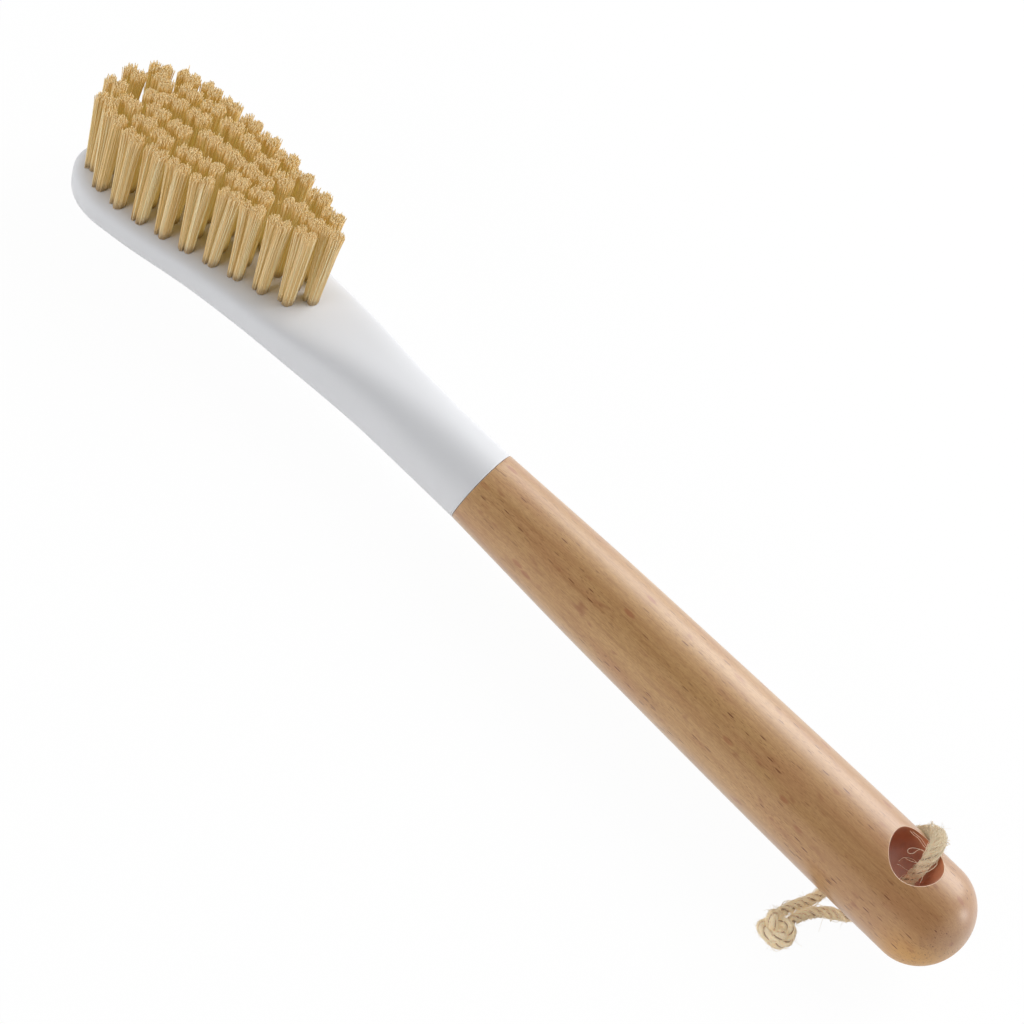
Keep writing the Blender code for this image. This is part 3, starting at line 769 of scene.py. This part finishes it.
def holeRows(rim):
    # rows from the window's rim over the surface to the hole, by a quarter circle over
    # its edge and straight down its wall to the middle; with each how far into the bore
    bx, by = rim[:, 0] - handle["holeX"], rim[:, 1]
    away = np.hypot(bx, by)
    cx, cy = bx / away, by / away
    hole, rounding = handle["holeRadius"], handle["rimRound"]
    edge = hole + rounding
    rows, bore = [], []
    for share in np.linspace(0, 1, handle["apronRows"])[1:]:
        px, py = bx + (cx * edge - bx) * share, by + (cy * edge - by) * share
        rows.append((px, py, overHole(px, py)))
        bore.append(0)
    for turn in np.linspace(0, np.pi / 2, handle["rimRows"])[1:]:
        out = hole + rounding * (1 - math.sin(turn))
        rows.append((cx * out, cy * out, overHole(cx * out, cy * out) - rounding * (1 - math.cos(turn))))
        bore.append(math.sin(turn) ** 3)
    wallTop = rows[-1][2]
    for share in np.linspace(1, 0, handle["wallRows"])[1:]:
        rows.append((cx * hole, cy * hole, wallTop * share))
        bore.append(1)
    return np.array(rows).transpose(0, 2, 1), bore


def makeHandle(finish):
    # the profile turned round x, with a window in the grid over each mouth of the hole,
    # and the hole's rows between them
    sides, steps = handle["sides"], handle["mouthSteps"]
    x, radius, rowLow, rowHigh = handleProfile()
    ring = spoke(fullTurn(sides), (0, 1, 0), (0, 0, 1))
    flat = (x[:, None, None] * (1, 0, 0) + radius[:, None, None] * ring).reshape(-1, 3)
    quads = gridQuads(len(x), sides)
    row, col = quads[:, 0] // sides, quads[:, 0] % sides
    top, bottom = sides // 4, 3 * sides // 4
    inWindow = (np.abs(col + 0.5 - top) < steps) | (np.abs(col + 0.5 - bottom) < steps)
    quads = quads[~((row >= rowLow) & (row < rowHigh) & inWindow)]
    upper = mouthLoop(rowLow, rowHigh, top - steps, top + steps, sides)
    lower = mouthLoop(rowLow, rowHigh, bottom + steps, bottom - steps, sides)
    upperRows, bore = holeRows(flat[upper])
    lowerRows = upperRows[:-1][::-1] * (1, 1, -1)
    tunnel = np.concatenate((upperRows, lowerRows)) + (handle["holeX"], 0, 0)
    count, base = len(upper), len(flat)
    rings = base + np.arange(len(tunnel) * count).reshape(-1, count)
    rings = np.vstack((upper, rings, lower)).ravel()
    quads = np.vstack((quads, rings[gridQuads(len(tunnel) + 2, count)]))
    ends = [[handle["socketDepth"], 0, 0], [handle["length"], 0, 0]]
    verts = np.vstack((flat, tunnel.reshape(-1, 3), ends))
    tris = endFans(len(x), sides, len(verts) - 2)
    boreOfRows = np.repeat(bore + bore[:-1][::-1], count)
    values = np.concatenate((np.zeros(base), boreOfRows, [0, 0]))
    # the points inside the windows go
    used, corners = np.unique(np.concatenate((quads.ravel(), tris.ravel())), return_inverse=True)
    quads, tris = np.split(corners, [quads.size])
    world, values = toWorld(verts[used]), {"bore": values[used]}
    piece = makePiece("beech_handle", world, quads, finish, tris, values, outward=True)
    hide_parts("handle")
    print("handle made")


# Head: sections along a spine that bends back, a squarish oval that flattens to a paddle

head = {
    "spineLength": 112.0, "neckStraight": 33.0, "bendRadius": 329.0,
    "jointRadius": 8.75, "halfWidth": 15.3, "faceHeight": 4.85, "backDepth": 5.2,
    "tipRound": 16.2, "tipPower": 2.1, "tipEdge": 5.4,
    "widthShares": ((0, 0), (0.22, 0.01), (0.45, 0.40), (0.64, 0.69), (0.82, 1), (1, 1)),
    "faceShares": ((0, 0), (0.27, 0.25), (0.54, 0.95), (0.80, 1), (1, 1)),
    "backShares": ((0, 0), (0.27, 0.05), (0.54, 0.75), (0.80, 1), (1, 1)),
    "squareShares": ((0, 0), (0.09, 0), (0.54, 1), (1, 1)),
    "faceSquare": 4.0, "backSquare": 2.3,
    "spigotRadius": 4.5, "spigotLength": 22.0, "spigotEase": 0.3,
    "collar": ((0, 0.5), (0, 0.16), (0.04, 0.05), (0.14, 0)),  # back from the seam, in from the edge
    "sides": 192, "firstRow": 0.6, "bodyRows": 170, "tipRows": 60,
}


def headSize(s, shares, full):
    # the joint's radius, which goes over to the full size by shares along the spine
    joint = head["jointRadius"]
    return joint + (full - joint) * smoothThrough(head[shares], s / head["spineLength"])


def headEnding(s, reach, power):
    # from 1 to 0 over a reach before the tip: root of 1 less a power of the share gone
    gone = np.maximum(0, s - head["spineLength"] + reach) / reach
    return np.sqrt(np.maximum(0, 1 - gone**power))


def onSpine(s, y, z):
    # point in the brush's frame from its place in a cross section: the spine is straight,
    # then an arc that bends back
    bend = np.maximum(0, s - head["neckStraight"]) / head["bendRadius"]
    x = -np.minimum(s, head["neckStraight"]) - head["bendRadius"] * np.sin(bend)
    drop = head["bendRadius"] * (1 - np.cos(bend))
    return np.stack(np.broadcast_arrays(x - z * np.sin(bend), y, z * np.cos(bend) - drop), -1)


def headRows(s):
    # sections as superellipses, round at the joint: sign * |cos| to a power by the half
    # width, and sign * |sin| to it by the face's height above or the back's depth below,
    # rounded off nearly as a circle at the tip and by a quarter circle over its edge
    turn = fullTurn(head["sides"])[None, :]
    s = s[:, None]
    across, up = np.cos(turn), np.sin(turn)
    blend = smoothThrough(head["squareShares"], s / head["spineLength"])
    corner = np.where(up > 0, head["faceSquare"], head["backSquare"])
    power = 2 / (2 + (corner - 2) * blend)
    face = headSize(s, "faceShares", head["faceHeight"])
    back = headSize(s, "backShares", head["backDepth"])
    height = np.where(up > 0, face, back) * headEnding(s, head["tipEdge"], 2)
    width = headSize(s, "widthShares", head["halfWidth"])
    width = width * headEnding(s, head["tipRound"], head["tipPower"])
    y = np.sign(across) * np.abs(across) ** power * width
    z = np.sign(up) * np.abs(up) ** power * height
    return onSpine(np.broadcast_to(s, y.shape), y, z)


def makeHead(finish):
    # spigot and collar as rings, then the sections to the tip, with a pole at each end
    sides, gap = head["sides"], handle["seamGap"]
    ring = spoke(fullTurn(sides), (0, 1, 0), (0, 0, 1))
    joint, spigot, end = head["jointRadius"], head["spigotRadius"], head["spigotLength"]
    collar = [(end, spigot), (-gap, spigot), (-gap, spigot + head["spigotEase"])]
    collar += [(-gap - back, joint - inward) for back, inward in head["collar"]]
    collarRows = np.array([r * ring + (x, 0, 0) for x, r in collar])
    body = head["spineLength"] - head["tipRound"]
    tip = body + head["tipRound"] * np.sin(np.linspace(0, np.pi / 2, head["tipRows"])[1:-1])
    stations = np.concatenate((np.linspace(head["firstRow"], body, head["bodyRows"]), tip))
    rows = np.concatenate((collarRows, headRows(stations)))
    tipPole = onSpine(np.array([head["spineLength"]]), 0, 0)
    world = toWorld(np.vstack((rows.reshape(-1, 3), [[end, 0, 0]], tipPole)))
    world[:, 2] = np.maximum(world[:, 2], 0)  # the flat that lies on the table
    count = len(rows)
    tris = endFans(count, sides, count * sides)
    quads = gridQuads(count, sides)
    piece = makePiece("white_head", world, quads, finish, tris, outward=True)
    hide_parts("head")
    print("head made")


# Bristles: each tuft stands where the frame has its solid

tuft = {
    "height": 18.5, "lean": math.radians(13.0),
    "plugDepth": 5.0, "sunk": 0.8,
    "strands": 200, "strandRadius": 0.115, "strandSides": 4,
    "stations": (0, 0.15, 0.4, 0.7, 0.88, 0.95, 1),
    "footRadius": 1.62,
    "feet": ((-1.0, 0.58), (0.69, 0.91)),  # middle and reach of each half at the foot
    "cleftAt": -0.18,  # share of the radius, so that one half is narrower
    "halves": ((-1.5, 1.05, 1.6), (1.25, 1.35, 1.75)),  # middle, reach along, reach across
    "splay": 0.035, "spreadPower": 1.1,
    "goldenTurn": 2.39996,  # radians from one strand's root to the next
    "stray": 0.07,
    "dome": 0.3, "trimNoise": 0.16, "wave": 0.015,
    "flare": 0.14, "flareFrom": 0.7,
    "flyaways": 3, "flyaway": 0.7,
    "turnSpread": 0.2, "sway": 0.2,
    "sweep": (0.85, 1.0),  # the tips are brushed a little to the butt and the far side,
    "sweepFrom": -91.5,  # more so toward the head's tip
    "sweepLess": 0.011,
    "widthSpread": (0.8, 1.2),
}


def tuftFeet():
    # foot of each tuft: middle of its root's lowest ring, moved up the root
    lean = tuft["lean"] + brush["tilt"]
    direction = np.array([-math.sin(lean), 0, math.cos(lean)])
    feet = {}
    for name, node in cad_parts.items():
        if not name.startswith("tuft_"):
            continue
        co = np.empty(len(node.data.vertices) * 3, np.float32)
        node.data.vertices.foreach_get("co", co)
        co = co.reshape(-1, 3) / mm
        deep = co @ direction
        ring = np.unique(np.round(co[deep < deep.min() + 0.05], 4), axis=0)
        feet[name] = (ring.min(0) + ring.max(0)) / 2 + direction * tuft["plugDepth"]
    return feet, direction


def makeTuft(name, foot, direction, finish, seed):
    # a round foot, folded along a cleft, whose halves open into two domed heads: each part
    # of the disc is drawn out to an oval, a strand goes from root to tip with t to a power,
    # and the cut ends turn off at random; root, tip and sway are (ahead, aside)
    rng = np.random.default_rng(seed)
    count, footRadius, cleftAt = tuft["strands"], tuft["footRadius"], tuft["cleftAt"]
    aside = np.array([0.0, 1, 0])
    ahead = np.cross(aside, direction)
    ring = np.sqrt((np.arange(count) + 0.5) / count)
    turn = np.arange(count) * tuft["goldenTurn"] + rng.uniform(0, 6)
    u, v = ring * np.cos(turn), ring * np.sin(turn)
    right = u > cleftAt
    middle, reachAlong, reachAcross = np.where(right, *np.array(tuft["halves"])[::-1, :, None])
    footMiddle, footReach = np.where(right, *np.array(tuft["feet"])[::-1, :, None])
    inHalf = np.where(right, (u - cleftAt) / (1 - cleftAt), (cleftAt - u) / (1 + cleftAt))
    wide = np.where(right, 1, -1) * (2 * inHalf - 1)
    tall = v / np.sqrt(1 - u**2) * np.sqrt(1 - wide**2)
    rootAhead = 0.5 * u * footRadius + 0.5 * (footMiddle + footReach * wide)
    root = np.array((rootAhead, footRadius * (0.45 * v + 0.5 * tall)))
    tip = np.array((middle + reachAlong * wide, reachAcross * tall))
    tip = tip + rng.normal(0, tuft["stray"], (2, count))
    loose = rng.permutation(count) < tuft["flyaways"]
    tip = tip + loose * rng.normal(0, tuft["flyaway"], (2, count))
    sway = tuft["sweep"] + rng.normal(0, tuft["sway"], 2)
    sway[0] -= tuft["sweepLess"] * (foot[0] - tuft["sweepFrom"])
    sway[1] += tuft["splay"] * foot[1]
    fold = rng.normal(0, tuft["turnSpread"])
    folded = np.array(((math.cos(fold), -math.sin(fold)), (math.sin(fold), math.cos(fold))))
    root, tip = folded @ root, folded @ tip + sway[:, None]
    dome = tuft["dome"] * (0.4 - wide**2 - 0.6 * tall**2)
    height = tuft["height"] + dome + rng.normal(0, tuft["trimNoise"], count)
    t = np.array(tuft["stations"], float)[None, :]
    swing = rng.uniform(0, 2 * np.pi, (count, 2)).T[..., None]
    wave = tuft["wave"] * np.sin(2 * np.pi * t + swing) * t
    ending = np.maximum(0, (t - tuft["flareFrom"]) / (1 - tuft["flareFrom"])) ** 2
    away = tuft["flare"] * (0.5 * np.array((wide, tall)) + rng.normal(0, 1, (2, count)))
    off = root[..., None] + (tip - root)[..., None] * t ** tuft["spreadPower"]
    off = (off + wave + ending * away[..., None])[..., None]
    z = -tuft["sunk"] + (height[:, None] + tuft["sunk"]) * t
    path = foot + off[0] * ahead + off[1] * aside + z[..., None] * direction
    width = rng.uniform(*tuft["widthSpread"], (count, 1, 1))
    radius = tuft["strandRadius"] * (0.8 + 0.5 * t - 0.45 * t**3)[..., None] * width
    shade = rng.uniform(size=(count, 1))
    verts, quads, tris, along, shade = strandTubes(path, radius, tuft["strandSides"], t, shade)
    values = {"along": along, "shade": shade}
    piece = makePiece("bristles_" + name[-2:], verts * mm, quads, finish, tris, values)
    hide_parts(name)


def makeBristles(finish):
    # one tuft on the foot of each solid, with its own seed
    feet, direction = tuftFeet()
    for seed, (name, foot) in enumerate(sorted(feet.items())):
        makeTuft(name, foot, direction, finish, 100 + seed)
    print("tufts made:", len(feet))


# Table and light

room = {
    "floorSize": 6.0, "floorWhite": 0.96, "floorGlow": 0.97,
    "worldStrength": 0.55,
    "dimWay": (0.075, -0.652, 0.755),  # the open, darker side of the white tent
    "dimFrom": 0.45, "dimFull": 0.95, "dimShare": 0.95,
    "lampDistance": 1.2,
    "lamps": {  # the way to each lamp, its size in metres and its power
        "key": ((0.2, 0.742, 0.64), (1.0, 1.0), 11.0),  # square to the view, beyond the brush
        "fill": ((-0.4, -0.86, 0.32), (0.9, 0.28), 5.8),
        "edge": ((0.84, 0.41, 0.35), (0.12, 0.36), 2.0),  # for the glint on the butt
    },
}


def makeFloor():
    # white table: bright to the camera, with the brush's shadow kept
    white = Finish("table_white", Base_Color=(*[room["floorWhite"]] * 3, 1), Roughness=0.7)
    glow = white.node("ShaderNodeEmission", {}, {"Color": (1, 1, 1, 1), "Strength": 1.0})
    white.mixWith(glow, white.seen() * room["floorGlow"])
    half = room["floorSize"] / 2
    verts = [(-half, -half, 0), (half, -half, 0), (half, half, 0), (-half, half, 0)]
    mesh = bpy.data.meshes.new("table")
    mesh.from_pydata(verts, [], [(0, 1, 2, 3)])
    mesh.materials.append(white.material)
    addObject("table", mesh)


def makeLamp(name, way, size, power):
    # an oval lamp, its light toward the origin
    data = bpy.data.lights.new(name, "AREA")
    data.shape = "ELLIPSE"
    data.size, data.size_y = size
    data.energy = power
    lamp = addObject(name, data)
    lamp.location = [room["lampDistance"] * part for part in way]
    lamp.rotation_euler = (-lamp.location).to_track_quat("-Z", "Y").to_euler()


def makeWorld():
    # a white tent, full white in reflections, that goes dark on its open side by a smooth
    # step over the cosine of the angle to that side
    world = bpy.data.worlds.new("studio")
    bpy.context.scene.world = world
    world.use_nodes = True
    tent = Graph(world.node_tree)
    ways = {0: tent.node("ShaderNodeTexCoord", {}, {}, "Generated"), 1: room["dimWay"]}
    facing = tent.node("ShaderNodeVectorMath", {"operation": "DOT_PRODUCT"}, ways, "Value")
    openSide = 1 - room["dimShare"] * facing.between(room["dimFrom"], room["dimFull"])
    strength = room["worldStrength"] + (1 - room["worldStrength"]) * tent.seen()
    background = tent.tree.nodes["Background"].inputs
    background["Color"].default_value = (1, 1, 1, 1)
    tent.tree.links.new((strength * openSide).socket, background["Strength"])


def makeLight():
    # the world, the lamps and the plain view of them
    makeWorld()
    for name, lamp in room["lamps"].items():
        makeLamp(name, *lamp)
    bpy.data.objects["fill"].visible_glossy = False  # it adds no streak of its own
    bpy.context.scene.view_settings.view_transform = "Standard"
    print("table and light set")


makeTwine(makeJute())
makeHandle(makeBeech())
makeHead(makeWhite())
makeBristles(makeBristle())
makeFloor()
makeLight()
